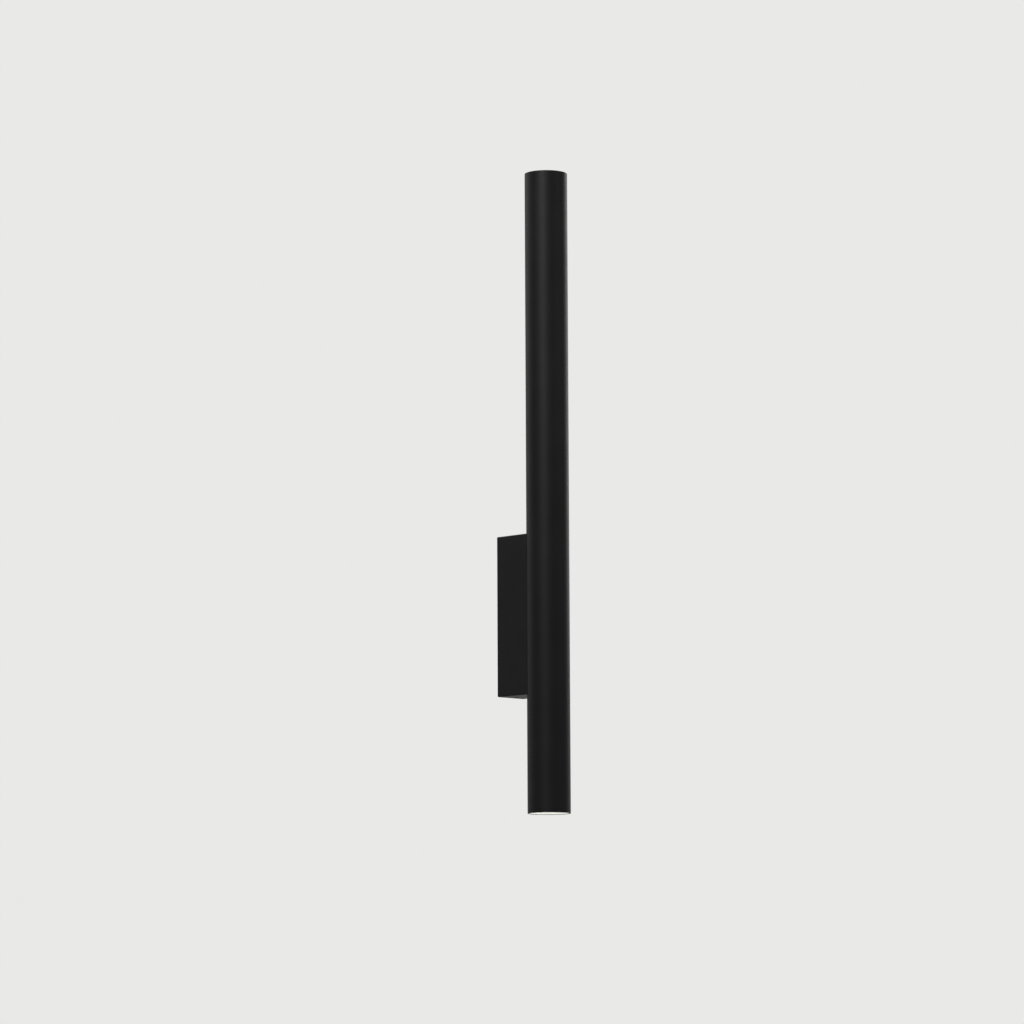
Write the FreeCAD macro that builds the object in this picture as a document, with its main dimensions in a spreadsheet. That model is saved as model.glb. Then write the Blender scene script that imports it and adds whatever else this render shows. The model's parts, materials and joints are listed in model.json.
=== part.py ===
import FreeCAD, Part
import math
import os
import Sketcher

# Tube wall light: a slim round tube, open at both ends, carried off the wall by a narrow
# box. A lamp with a twist-lock base sits a little way inside each end of the tube, one
# shining up and one down. The box slides over a steel bracket that is screwed to the wall.
#
# Frame, in millimetres: the origin is on the wall, in the middle of the bracket's back.
# X runs along the wall, -Y points into the room and +Z is up.

doc = FreeCAD.newDocument("tube_wall_light")

# ---------------------------------------------------------------- sizes

# Every size that can be chosen by itself.
SIZES = {
    # tube
    "tube_diameter": 40,
    "tube_wall": 1,
    "tube_edge_radius": 0.25,
    "tube_length": 600,
    "wall_to_axis": 50,
    # box between the wall and the tube
    "box_width": 34,
    "box_height": 150,
    "box_drop": 110,  # from the tube's lower end up to the bottom of the box
    "box_side_wall": 1.5,
    "box_end_wall": 3.5,
    "box_front_wall": 2,
    "box_corner_radius": 1.2,
    "saddle_gap": 0.05,
    # bracket on the wall
    "bracket_sheet": 1.5,
    "bracket_side_gap": 0.5,
    "bracket_end_gap": 1,
    "bracket_tab_depth": 14,
    "bracket_bend_radius": 1,
    "wall_slot_spacing": 100,
    "wall_slot_width": 4.5,
    "wall_slot_length": 10,
    "cable_hole_radius": 7,
    "bushing_bore_radius": 4,
    "bushing_flange_radius": 9.5,
    "bushing_flange_height": 1.5,
    "bracket_earth_side": 8,
    "bracket_earth_height": -25,
    # screws that lock the box to the bracket
    "locking_screw_radius": 2,
    "locking_screw_length": 4,
    "locking_screw_depth": 8,  # from the wall
    "locking_socket_radius": 1.15,
    "locking_socket_depth": 2,
    "locking_gap": 0.05,
    # hollow nipple that leads the wires from the tube into the box
    "nipple_radius": 5,
    "nipple_bore_radius": 3.75,
    "nipple_spare_length": 2,  # thread that stands out of each nut
    "nut_flat_radius": 7,
    "nut_height": 4,
    "nipple_washer_radius": 8,
    "washer_sheet": 0.8,
    "liner_bore_radius": 3,
    "liner_flange_radius": 4.9,
    "liner_flange_height": 0.8,
    "liner_length": 4,
    # bar inside the tube that the two body screws pull against
    "bar_width": 14,
    "bar_end_distance": 10,  # from a body screw to the end of the bar
    "bar_thickness": 3,
    "body_screw_block_gap": 1.6,  # between a body screw's washer and the terminal block's lug
    "body_screw_spare_length": 1.5,
    # screw families: shank radius, head radius and head height
    "large_shank_radius": 2,
    "large_head_radius": 3.9,
    "large_head_height": 2.6,
    "small_shank_radius": 1.5,
    "small_head_radius": 2.75,
    "small_head_height": 1.8,
    "tiny_shank_radius": 1.25,
    "tiny_head_radius": 2.2,
    "tiny_head_height": 1.5,
    "drive_slot_width": 0.8,
    "drive_slot_depth": 0.9,
    "screw_clearance": 0.2,
    "thread_gap": 0.05,
    "fit_gap": 0.1,
    "large_washer_radius": 4.4,
    # terminal block in the box
    "block_side_gap": 1.1,
    "block_edge": 4.8,  # from the outer poles to the block's sides
    "block_end_distance": 14,  # from the top of the box down to the block
    "block_height": 17,
    "block_depth": 16,
    "pole_depth": 8,  # from the block's seat to the middle of the wires
    "insert_radius": 2.9,
    "insert_bore_radius": 2,
    "insert_length": 15,
    "terminal_screw_length": 3.5,
    "terminal_screw_pitch": 9,
    "lug_radius": 3,
    "lug_thickness": 2.5,
    "fixing_screw_bite": 1.8,
    # earth connection in the box
    "earth_side": 8,
    "earth_end_distance": 25,  # from the bottom of the box up to the earth screw
    "earth_screw_bite": 2.6,
    "earth_ring_radius": 4,
    "earth_tongue_length": 8,
    "earth_barrel_length": 6,
    "earth_barrel_wall": 0.6,
    # lamp
    "lamp_recess": 15,
    "lamp_gap": 1.7,  # between the lamp and the bore of the tube
    "lamp_rim_height": 4.5,
    "lamp_neck_radius": 9.5,
    "lamp_shell_height": 31,
    "lamp_shell_wall": 1.2,
    "lamp_base_height": 13,
    "lens_recess": 0.5,
    "lens_thickness": 2,
    "lens_dome": 0.6,
    "lens_ledge": 1,
    "led_board_margin": 1.1,  # from the board to the edge of the lens ledge
    "led_board_thickness": 1.6,
    "pin_spacing": 10,
    "pin_radius": 1.5,
    "pin_head_radius": 2.5,
    "pin_head_height": 2.2,
    "pin_length": 7.4,
    "pin_socket_depth": 4,
    # lampholder
    "holder_radius": 13,
    "holder_length": 15,
    "holder_face_gap": 0.3,
    "pin_gap": 0.3,
    "twist_angle": 25,
    "chamber_spare_depth": 2,
    "contact_thickness": 0.6,
    "contact_width": 3.6,
    "contact_barrel_wall": 0.3,
    "contact_barrel_length": 3.5,
    "holder_screw_spacing": 18,
    "holder_screw_bite": 3,
    # cup that carries the lampholder in the tube
    "cup_sheet": 1.5,
    "cup_rim_height": 8,
    "cup_gap": 0.15,
    "lead_hole_radius": 2.2,
    # trim ring in the mouth of the tube
    "ring_sheet": 0.5,
    "ring_gap": 0.15,
    "ring_recess": 0.3,
    "ring_lip_radius": 15.5,
    "ring_lamp_gap": 0.3,
    # leads
    "lead_radius": 0.85,
    "lead_gap": 0.1,
    "lead_pitch": 2.2,
    "lead_bend_radius": 8,
    "lead_gather_reach": 50,  # from the nipple, where the leads in the tube lie together
    "lead_gather_run": 34,
    "lead_turn_depth": 13,  # from the wall
    "lead_straight_run": 9,  # below the terminal block
    "lead_spread_run": 17,
    "lead_insertion": 6,
    "earth_lead_run": 20,
}

# Places and fits that follow from the sizes. Each formula may use the ones above it.
PLACES = {
    "tube_radius": "Sizes.tube_diameter / 2",
    "bore_radius": "tube_radius - Sizes.tube_wall",
    "box_half_height": "Sizes.box_height / 2",
    "tube_low": "-box_half_height - Sizes.box_drop",
    "tube_high": "tube_low + Sizes.tube_length",
    "saddle_radius": "tube_radius + Sizes.saddle_gap",
    "seat_depth": "Sizes.wall_to_axis - saddle_radius - Sizes.box_front_wall",
    "tube_back_depth": "Sizes.wall_to_axis - tube_radius",
    "bore_back_depth": "Sizes.wall_to_axis - bore_radius",
    "bar_front_depth": "bore_back_depth + Sizes.bar_thickness",
    # bracket
    "bracket_half_width": "Sizes.box_width / 2 - Sizes.box_side_wall - Sizes.bracket_side_gap",
    "bracket_half_height": "box_half_height - Sizes.box_end_wall - Sizes.bracket_end_gap",
    # nipple
    "nipple_hole_radius": "Sizes.nipple_radius + Sizes.fit_gap",
    "nipple_front_depth": "bar_front_depth + Sizes.nut_height + Sizes.nipple_spare_length",
    "nipple_back_depth": "seat_depth - Sizes.washer_sheet - Sizes.nut_height - Sizes.nipple_spare_length",
    "large_hole_radius": "Sizes.large_shank_radius + Sizes.screw_clearance",
    "large_thread_radius": "Sizes.large_shank_radius + Sizes.thread_gap",
    "small_hole_radius": "Sizes.small_shank_radius + Sizes.screw_clearance",
    "small_thread_radius": "Sizes.small_shank_radius + Sizes.thread_gap",
    "tiny_hole_radius": "Sizes.tiny_shank_radius + Sizes.screw_clearance",
    "tiny_thread_radius": "Sizes.tiny_shank_radius + Sizes.thread_gap",
    "body_screw_length": "bar_front_depth - seat_depth + Sizes.washer_sheet + Sizes.body_screw_spare_length",
    # terminal block
    "block_half_width": "Sizes.box_width / 2 - Sizes.box_side_wall - Sizes.block_side_gap",
    "pole_pitch": "block_half_width - Sizes.block_edge",
    "pole_wall_depth": "seat_depth - Sizes.pole_depth",
    "block_high_height": "box_half_height - Sizes.block_end_distance",
    "block_low_height": "block_high_height - Sizes.block_height",
    "block_mid_height": "block_low_height + Sizes.block_height / 2",
    "lug_side": "pole_pitch / 2",
    "lug_end_height": "block_low_height - Sizes.lug_radius * 2",
    "body_screw_height": "lug_end_height - Sizes.large_washer_radius - Sizes.body_screw_block_gap",
    "bar_half_height": "body_screw_height + Sizes.bar_end_distance",
    "lead_end_height": "block_low_height + Sizes.lead_insertion",
    "lead_straight_height": "block_low_height - Sizes.lead_straight_run",
    "lead_spread_height": "lead_straight_height - Sizes.lead_spread_run",
    "earth_height": "-box_half_height + Sizes.earth_end_distance",
    # lamp, measured inwards from the mouth of the tube
    "lamp_radius": "bore_radius - Sizes.lamp_gap",
    "lamp_rim_depth": "Sizes.lamp_recess + Sizes.lamp_rim_height",
    "lens_depth": "Sizes.lamp_recess + Sizes.lens_recess",
    "lens_seat_depth": "lens_depth + Sizes.lens_thickness",
    "lamp_bore_radius": "lamp_radius - Sizes.lamp_shell_wall",
    "lens_radius": "lamp_bore_radius - Sizes.fit_gap",
    "lens_ledge_radius": "lamp_bore_radius - Sizes.lens_ledge",
    "led_board_radius": "lens_ledge_radius - Sizes.led_board_margin",
    "shell_end_depth": "Sizes.lamp_recess + Sizes.lamp_shell_height",
    "base_end_depth": "shell_end_depth + Sizes.lamp_base_height",
    "pin_end_depth": "base_end_depth + Sizes.pin_length",
    "pin_head_depth": "pin_end_depth - Sizes.pin_head_height",
    "pin_side": "Sizes.pin_spacing / 2",
    # lampholder
    "holder_depth": "base_end_depth + Sizes.holder_face_gap",
    "holder_end_depth": "holder_depth + Sizes.holder_length",
    "chamber_depth": "pin_head_depth - Sizes.pin_gap",
    "chamber_end_depth": "pin_end_depth + Sizes.chamber_spare_depth + Sizes.contact_thickness",
    "keyway_radius": "Sizes.pin_radius + Sizes.pin_gap",
    "pin_seat_radius": "keyway_radius + Sizes.fit_gap",
    "keyhole_radius": "Sizes.pin_head_radius + Sizes.pin_gap",
    "chamber_half_width": "keyhole_radius + Sizes.fit_gap",
    "barrel_bore_radius": "Sizes.lead_radius + Sizes.lead_gap",
    "barrel_radius": "barrel_bore_radius + Sizes.contact_barrel_wall",
    "holder_screw_side": "Sizes.holder_screw_spacing / 2",
    "cup_end_depth": "holder_end_depth + Sizes.cup_sheet",
    "cup_rim_depth": "cup_end_depth + Sizes.cup_rim_height",
    "cup_radius": "bore_radius - Sizes.cup_gap",
    "cup_screw_depth": "cup_end_depth + Sizes.cup_rim_height / 2",
    # trim ring
    "ring_radius": "bore_radius - Sizes.ring_gap",
    "ring_end_depth": "Sizes.lamp_recess - Sizes.ring_lamp_gap",
}


def fill_sheet(name, entries):
    """Makes one sheet: the words in column A, the numbers or formulas in column B."""
    sheet = doc.addObject("Spreadsheet::Sheet", name)
    for row, (alias, content) in enumerate(entries.items(), start=1):
        sheet.set(f"A{row}", alias)
        sheet.set(f"B{row}", content)
        sheet.setAlias(f"B{row}", alias)
    return sheet


sizes = fill_sheet("Sizes", {alias: str(number) for alias, number in SIZES.items()})
places = fill_sheet("Places", {alias: "=" + formula for alias, formula in PLACES.items()})
doc.recompute()


def full(text):
    """Writes out which sheet each word of a formula comes from."""
    words = []
    for word in str(text).replace("(", "( ").replace(")", " )").split():
        bare = word.lstrip("-")
        sign = word[: len(word) - len(bare)]
        sheet = "Sizes." if bare in SIZES else "Places." if bare in PLACES else ""
        words.append(sign + sheet + bare)
    return " ".join(words)


def number(text):
    """The value of a formula in the words of the two sheets."""
    return float(sizes.evalExpression(full(text)))


# ---------------------------------------------------------------- tools of the trade

X_AXIS = FreeCAD.Vector(1, 0, 0)
Y_AXIS = FreeCAD.Vector(0, 1, 0)
UPRIGHT = FreeCAD.Rotation()
TO_WALL = FreeCAD.Rotation(X_AXIS, -90)  # local Z points to the wall, +Y
TO_ROOM = FreeCAD.Rotation(X_AXIS, 90)  # local Z points into the room, -Y
UPSIDE_DOWN = FreeCAD.Rotation(Y_AXIS, 180)

nodes = {}


def bind(obj, **formulas):
    """Ties properties of an object to formulas; x, y and z are its place."""
    for name, text in formulas.items():
        path = f"Placement.Base.{name}" if name in ("x", "y", "z") else name
        obj.setExpression(path, full(text))
    return obj


def put(obj, x="0", y="0", z="0", turn=UPRIGHT):
    """Places an object, its own origin at (x, y, z), turned as told."""
    obj.Placement = FreeCAD.Placement(FreeCAD.Vector(), turn)
    return bind(obj, x=x, y=y, z=z)


def node(name, obj):
    """Names a finished sub-part."""
    obj.Label = name
    nodes[name] = obj
    return obj


def group(name, members):
    """One sub-part made of several like solids."""
    compound = doc.addObject("Part::Compound", name)
    compound.Links = members
    return node(name, compound)


def origin_plane(body, role):
    return next(plane for plane in body.Origin.OriginFeatures if plane.Role == role)


def new_sketch(body, role, lift="0"):
    sketch = body.newObject("Sketcher::SketchObject", body.Name + "_sketch")
    sketch.AttachmentSupport = [(origin_plane(body, role), "")]
    sketch.MapMode = "FlatFace"
    sketch.setExpression("AttachmentOffset.Base.z", full(lift))
    return sketch


def tie(sketch, kind, *items):
    """Adds one dimension to a sketch, tied to a formula."""
    *places_in_sketch, text = items
    index = sketch.addConstraint(Sketcher.Constraint(kind, *places_in_sketch, number(text)))
    sketch.setExpression(f"Constraints[{index}]", full(text))


def tie_point(sketch, geometry, point, x, y):
    tie(sketch, "DistanceX", -1, 1, geometry, point, x)
    tie(sketch, "DistanceY", -1, 1, geometry, point, y)


def draw_outline(sketch, corners):
    """A closed outline of straight lines through corners given as pairs of formulas."""
    first = sketch.GeometryCount
    points = [FreeCAD.Vector(number(x), number(y), 0) for x, y in corners]
    for start, end in zip(points, points[1:] + points[:1]):
        sketch.addGeometry(Part.LineSegment(start, end))
    for index, (x, y) in enumerate(corners):
        following = first + (index + 1) % len(corners)
        sketch.addConstraint(Sketcher.Constraint("Coincident", first + index, 2, following, 1))
        tie_point(sketch, first + index, 1, x, y)


def draw_rectangle(sketch, x_low, x_high, y_low, y_high):
    draw_outline(sketch, [(x_low, y_low), (x_high, y_low), (x_high, y_high), (x_low, y_high)])


def draw_circle(sketch, x, y, radius):
    centre = FreeCAD.Vector(number(x), number(y), 0)
    index = sketch.addGeometry(Part.Circle(centre, FreeCAD.Vector(0, 0, 1), number(radius)))
    tie_point(sketch, index, 3, x, y)
    tie(sketch, "Radius", index, radius)


def draw_slot(sketch, half_width, low, high):
    """An upright slot with round ends, its axis on the sketch's vertical axis."""
    radius = number(half_width)
    bottom = FreeCAD.Vector(0, number(low), 0)
    top = FreeCAD.Vector(0, number(high), 0)
    side = FreeCAD.Vector(radius, 0, 0)
    down = FreeCAD.Vector(0, -radius, 0)
    right = sketch.addGeometry(Part.LineSegment(bottom + side, top + side))
    cap = sketch.addGeometry(Part.Arc(top + side, top - down, top - side))
    left = sketch.addGeometry(Part.LineSegment(top - side, bottom - side))
    foot = sketch.addGeometry(Part.Arc(bottom - side, bottom + down, bottom + side))
    for index, start, end in ((right, low, high), (left, high, low)):
        x = half_width if index == right else f"-{half_width}"
        tie_point(sketch, index, 1, x, start)
        tie_point(sketch, index, 2, x, end)
    for index, centre in ((cap, high), (foot, low)):
        line = right if index == cap else left
        other = left if index == cap else right
        sketch.addConstraint(Sketcher.Constraint("Coincident", index, 1, line, 2))
        sketch.addConstraint(Sketcher.Constraint("Coincident", index, 2, other, 1))
        tie(sketch, "DistanceY", -1, 1, index, 3, centre)


def pad(body, sketch, length, midplane=False):
    feature = body.newObject("PartDesign::Pad", body.Name + "_pad")
    feature.Profile = sketch
    feature.SideType = "Symmetric" if midplane else "One side"
    bind(feature, Length=length)
    doc.recompute()
    return feature


def pocket(body, sketch, depth=None, back=False):
    """Cuts a sketch out of the body, to a depth or right through, and checks that it cut."""
    before = body.Shape.Volume
    feature = body.newObject("PartDesign::Pocket", body.Name + "_pocket")
    feature.Profile = sketch
    if depth is None:
        feature.Type = "ThroughAll"
        feature.SideType = "Symmetric"
    else:
        feature.Reversed = back
        bind(feature, Length=depth)
    doc.recompute()
    if not body.Shape.Volume < before:
        raise RuntimeError(f"{feature.Name} cuts nothing")
    return feature


def through_holes(body, role, holes):
    """Round holes right through, each a centre and a radius in the plane's own axes."""
    sketch = new_sketch(body, role)
    for x, y, radius in holes:
        draw_circle(sketch, x, y, radius)
    return pocket(body, sketch)


def rounded(body, name, radius, wanted):
    """Rounds the straight edges of the body that the test picks."""
    edges = [f"Edge{index}" for index, edge in enumerate(body.Shape.Edges, start=1) if wanted(edge)]
    base = body.Tip
    feature = body.newObject("PartDesign::Fillet", name)
    feature.Base = (base, edges)
    bind(feature, Radius=radius)
    doc.recompute()
    return feature


def turned(name, corners):
    """A solid of revolution about its own Z axis, from corners (radius, height)."""
    body = doc.addObject("PartDesign::Body", name)
    sketch = new_sketch(body, "XZ_Plane")
    draw_outline(sketch, corners)
    feature = body.newObject("PartDesign::Revolution", name + "_turn")
    feature.Profile = sketch
    feature.ReferenceAxis = (sketch, ["V_Axis"])
    feature.Angle = 360
    return body


def cylinder(name, radius, height, x="0", y="0", z="0", turn=UPRIGHT):
    return put(bind(doc.addObject("Part::Cylinder", name), Radius=radius, Height=height), x, y, z, turn)


def box(name, length, width, height, x="0", y="0", z="0"):
    """A block from its lowest corner at (x, y, z)."""
    return put(bind(doc.addObject("Part::Box", name), Length=length, Width=width, Height=height), x, y, z)


def joined(name, members):
    fusion = doc.addObject("Part::MultiFuse", name)
    fusion.Shapes = members
    return fusion


def without(name, base, tools):
    """The base with the tools cut out of it."""
    cut = doc.addObject("Part::Cut", name)
    cut.Base = base
    cut.Tool = tools[0] if len(tools) == 1 else joined(name + "_tools", tools)
    return cut


SCREW_POINT = 0.2  # a screw's end bevel, as a share of its shank's radius
HEAD_EDGE = 0.55  # where a head's upright edge ends, as a share of its height
HEAD_CROWN = 0.75  # the flat top of a head, as a share of its radius


def slotted_screw(name, family, length):
    """A screw with its head's seat at height 0, the head upwards and a drive slot across it."""
    shank, head, rise = f"{family}_shank_radius", f"{family}_head_radius", f"{family}_head_height"
    screw = turned(
        name,
        [
            ("0", f"-( {length} )"),
            (f"{shank} * ( 1 - {SCREW_POINT} )", f"-( {length} )"),
            (shank, f"-( {length} ) + {shank} * {SCREW_POINT}"),
            (shank, "0"),
            (head, "0"),
            (head, f"{rise} * {HEAD_EDGE}"),
            (f"{head} * {HEAD_CROWN}", rise),
            ("0", rise),
        ],
    )
    doc.recompute()
    slot = new_sketch(screw, "XY_Plane", rise)
    draw_rectangle(slot, f"-{head}", head, "-drive_slot_width / 2", "drive_slot_width / 2")
    pocket(screw, slot, "drive_slot_depth")
    return screw


WASHER_TEETH = 8
TOOTH_GAP = 0.4  # the slot between two teeth, as a share of the washer's width


def toothed_washer(name, hole_radius, outer_radius):
    """A flat spring-steel washer with teeth round its rim, seat at height 0."""
    washer = doc.addObject("PartDesign::Body", name)
    ring = new_sketch(washer, "XY_Plane")
    draw_circle(ring, "0", "0", outer_radius)
    draw_circle(ring, "0", "0", hole_radius)
    pad(washer, ring, "washer_sheet")
    gap = new_sketch(washer, "XY_Plane")
    half_gap = f"( {outer_radius} - {hole_radius} ) * {TOOTH_GAP} / 2"
    middle = f"( {outer_radius} + {hole_radius} ) / 2"
    draw_rectangle(gap, middle, f"{outer_radius} + washer_sheet", f"-{half_gap}", half_gap)
    notch = pocket(washer, gap)
    pattern = washer.newObject("PartDesign::PolarPattern", name + "_teeth")
    pattern.Originals = [notch]
    pattern.Axis = (gap, ["N_Axis"])
    pattern.Angle = 360
    pattern.Occurrences = WASHER_TEETH
    washer.Tip = pattern
    return washer


BEND_SHARE = 0.45  # how much of the shorter run beside a corner its bend may take


def route(points, largest_radius):
    """A wire of straight runs joined by tangent arcs, through points given in millimetres.

    Each arc is as large as its two runs allow, up to the largest radius.
    """
    edges = []
    start = points[0]
    for before, corner, after in zip(points, points[1:], points[2:]):
        inward = (before - corner).normalize()
        outward = (after - corner).normalize()
        half_turn = inward.getAngle(outward * -1) / 2
        tangent = math.tan(half_turn)
        shorter_run = min((before - corner).Length, (after - corner).Length)
        radius = min(largest_radius, BEND_SHARE * shorter_run / tangent)
        arc_start = corner + inward * radius * tangent
        arc_end = corner + outward * radius * tangent
        bisector = (inward + outward).normalize()
        to_centre = ((radius * tangent) ** 2 + radius**2) ** 0.5
        middle = corner + bisector * (to_centre - radius)
        edges.append(Part.LineSegment(start, arc_start).toShape())
        edges.append(Part.Arc(arc_start, middle, arc_end).toShape())
        start = arc_end
    edges.append(Part.LineSegment(start, points[-1]).toShape())
    return Part.Wire(edges)


VOLUME_TOLERANCE = 0.01


def lead(name, stations):
    """A round insulated lead along stations given as triples of formulas."""
    points = [FreeCAD.Vector(*(number(text) for text in station)) for station in stations]
    path = route(points, number("lead_bend_radius"))
    radius = number("lead_radius")
    section = Part.Wire([Part.makeCircle(radius, points[0], points[1] - points[0])])
    shape = path.makePipeShell([section], True, False)
    wanted = path.Length * section.Length * radius / 2
    if abs(shape.Volume - wanted) > VOLUME_TOLERANCE * wanted:
        raise RuntimeError(f"{name} has the wrong volume")
    feature = doc.addObject("Part::Feature", name)
    feature.Shape = shape
    return feature


# The two ends of the tube are alike. A piece of an end is made with its height measured
# inwards from the mouth, and then placed in the lower end as it is and in the upper end
# upside down, with its back still to the wall.
ENDS = {"lower": ("tube_low", UPRIGHT), "upper": ("tube_high", UPSIDE_DOWN)}


def in_end(end, obj):
    mouth, turn = ENDS[end]
    return put(obj, "0", "-wall_to_axis", mouth, turn)


# ---------------------------------------------------------------- tube and box


def make_tube():
    """Extruded aluminium tube, drilled at the back for the box and for the two cups."""
    tube = doc.addObject("PartDesign::Body", "tube_body")
    section = new_sketch(tube, "XY_Plane")
    draw_circle(section, "0", "0", "tube_radius")
    draw_circle(section, "0", "0", "bore_radius")
    pad(tube, section, "tube_length")
    rounded(tube, "tube_rims", "tube_edge_radius", lambda edge: edge.BoundBox.XLength > number("bore_radius"))
    back = new_sketch(tube, "XZ_Plane")
    draw_circle(back, "0", "-tube_low", "nipple_hole_radius")
    for height in ("-body_screw_height", "body_screw_height"):
        draw_circle(back, "0", f"{height} - tube_low", "large_hole_radius")
    for height in ("cup_screw_depth", "tube_length - cup_screw_depth"):
        draw_circle(back, "0", height, "small_hole_radius")
    pocket(tube, back, "tube_radius")
    put(tube, "0", "-wall_to_axis", "tube_low")
    return node("tube_body", tube)


def make_mount_box():
    """Box open to the wall, with a front that is hollowed to cradle the tube."""
    body = doc.addObject("PartDesign::Body", "mount_box")
    outline = new_sketch(body, "XZ_Plane")
    draw_rectangle(outline, "-box_width / 2", "box_width / 2", "-box_half_height", "box_half_height")
    pad(body, outline, "wall_to_axis")
    full_depth = number("seat_depth")
    rounded(body, "mount_box_corners", "box_corner_radius", lambda edge: edge.BoundBox.YLength > full_depth)
    saddle = new_sketch(body, "XY_Plane")
    draw_circle(saddle, "0", "-wall_to_axis", "saddle_radius")
    pocket(body, saddle)
    inside = new_sketch(body, "XZ_Plane")
    half_width = "( box_width / 2 - box_side_wall )"
    half_height = "( box_half_height - box_end_wall )"
    draw_rectangle(inside, f"-{half_width}", half_width, f"-{half_height}", half_height)
    pocket(body, inside, "seat_depth", back=True)
    front_holes = [
        ("0", "0", "nipple_hole_radius"),
        ("0", "-body_screw_height", "large_hole_radius"),
        ("0", "body_screw_height", "large_hole_radius"),
        ("earth_side", "earth_height", "large_thread_radius"),
        ("-lug_side", "block_low_height - lug_radius", "tiny_thread_radius"),
        ("lug_side", "block_high_height + lug_radius", "tiny_thread_radius"),
    ]
    through_holes(body, "XZ_Plane", front_holes)
    lock_hole = "locking_screw_radius + thread_gap"
    through_holes(body, "XY_Plane", [("0", "-locking_screw_depth", lock_hole)])
    return node("mount_box", body)


def make_joint_hardware():
    """Nipple, nuts, liners, bar and screws that hold the box to the tube."""
    ring = [("nipple_bore_radius", "0"), ("nipple_radius", "0")]
    top = "nipple_front_depth - nipple_back_depth"
    nipple = turned("threaded_nipple", ring + [("nipple_radius", top), ("nipple_bore_radius", top)])
    node("threaded_nipple", put(nipple, y="-nipple_front_depth", turn=TO_WALL))

    nuts = []
    for side, seat in (("front", "-bar_front_depth - nut_height"), ("back", "-seat_depth + washer_sheet")):
        hexagon = doc.addObject("Part::Prism", f"nut_{side}_hexagon")
        hexagon.Polygon = 6
        bind(hexagon, Circumradius="nut_flat_radius / cos(30)", Height="nut_height")
        bore = cylinder(f"nut_{side}_bore", "nipple_radius + thread_gap", "nut_height")
        nuts.append(put(without(f"nut_{side}", hexagon, [bore]), y=seat, turn=TO_WALL))
    group("nipple_nuts", nuts)
    washer = toothed_washer("nipple_washer", "nipple_hole_radius", "nipple_washer_radius")
    node("nipple_washer", put(washer, y="-seat_depth", turn=TO_WALL))

    liners = []
    ends = (("front", "-nipple_front_depth", TO_ROOM), ("back", "-nipple_back_depth", TO_WALL))
    for side, end, turn in ends:
        outer = "nipple_bore_radius - fit_gap"
        corners = [
            ("liner_bore_radius", "-liner_length"),
            (outer, "-liner_length"),
            (outer, "0"),
            ("liner_flange_radius", "0"),
            ("liner_flange_radius", "liner_flange_height"),
            ("liner_bore_radius", "liner_flange_height"),
        ]
        liners.append(put(turned(f"nipple_liner_{side}", corners), y=end, turn=turn))
    group("nipple_liners", liners)

    curve_radius = "bore_radius - saddle_gap"
    bore = cylinder("bar_curve", curve_radius, "bar_half_height * 2", y="-wall_to_axis", z="-bar_half_height")
    blank = box(
        "bar_blank",
        "bar_width",
        "bar_thickness + tube_wall",
        "bar_half_height * 2",
        x="-bar_width / 2",
        y="-bar_front_depth",
        z="-bar_half_height",
    )
    bar = doc.addObject("Part::Common", "bar_curved")
    bar.Base = blank
    bar.Tool = bore
    holes = [cylinder("bar_hole", "nipple_hole_radius", "wall_to_axis", turn=TO_ROOM)]
    screws = []
    washers = []
    for side, height in (("lower", "-body_screw_height"), ("upper", "body_screw_height")):
        thread = cylinder(f"bar_thread_{side}", "large_thread_radius", "wall_to_axis", z=height, turn=TO_ROOM)
        holes.append(thread)
        screw = slotted_screw(f"body_screw_{side}", "large", "body_screw_length")
        screws.append(put(screw, y="-seat_depth + washer_sheet", z=height, turn=TO_WALL))
        blank = cylinder(f"body_washer_{side}_blank", "large_washer_radius", "washer_sheet")
        hole = cylinder(f"body_washer_{side}_hole", "large_hole_radius", "washer_sheet")
        washer = without(f"body_washer_{side}", blank, [hole])
        washers.append(put(washer, y="-seat_depth", z=height, turn=TO_WALL))
    node("backing_bar", without("backing_bar", bar, holes))
    group("body_screws", screws)
    group("body_screw_washers", washers)


# ---------------------------------------------------------------- bracket on the wall


def make_bracket():
    """Folded steel strip: a back plate with two slots for wall screws and a tab at each end."""
    body = doc.addObject("PartDesign::Body", "wall_bracket")
    fold = new_sketch(body, "YZ_Plane")
    inner = "( bracket_half_height - bracket_sheet )"
    corners = [
        ("0", "-bracket_half_height"),
        ("0", "bracket_half_height"),
        ("-bracket_tab_depth", "bracket_half_height"),
        ("-bracket_tab_depth", inner),
        ("-bracket_sheet", inner),
        ("-bracket_sheet", f"-{inner}"),
        ("-bracket_tab_depth", f"-{inner}"),
        ("-bracket_tab_depth", "-bracket_half_height"),
    ]
    draw_outline(fold, corners)
    pad(body, fold, "bracket_half_width * 2", midplane=True)
    rounded(
        body,
        "wall_bracket_bends",
        "bracket_bend_radius",
        lambda edge: edge.BoundBox.XLength > number("bracket_half_width")
        and edge.BoundBox.YMax > -number("bracket_bend_radius"),
    )
    slots = new_sketch(body, "XZ_Plane")
    half_run = "( wall_slot_length - wall_slot_width ) / 2"
    half_width = "wall_slot_width / 2"
    for middle in ("-wall_slot_spacing / 2", "wall_slot_spacing / 2"):
        low, high = f"{middle} - {half_run}", f"{middle} + {half_run}"
        draw_slot(slots, half_width, low, high)
    pocket(body, slots)
    holes = [
        ("0", "0", "cable_hole_radius"),
        ("bracket_earth_side", "bracket_earth_height", "large_thread_radius"),
    ]
    through_holes(body, "XZ_Plane", holes)
    return node("wall_bracket", body)


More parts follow.
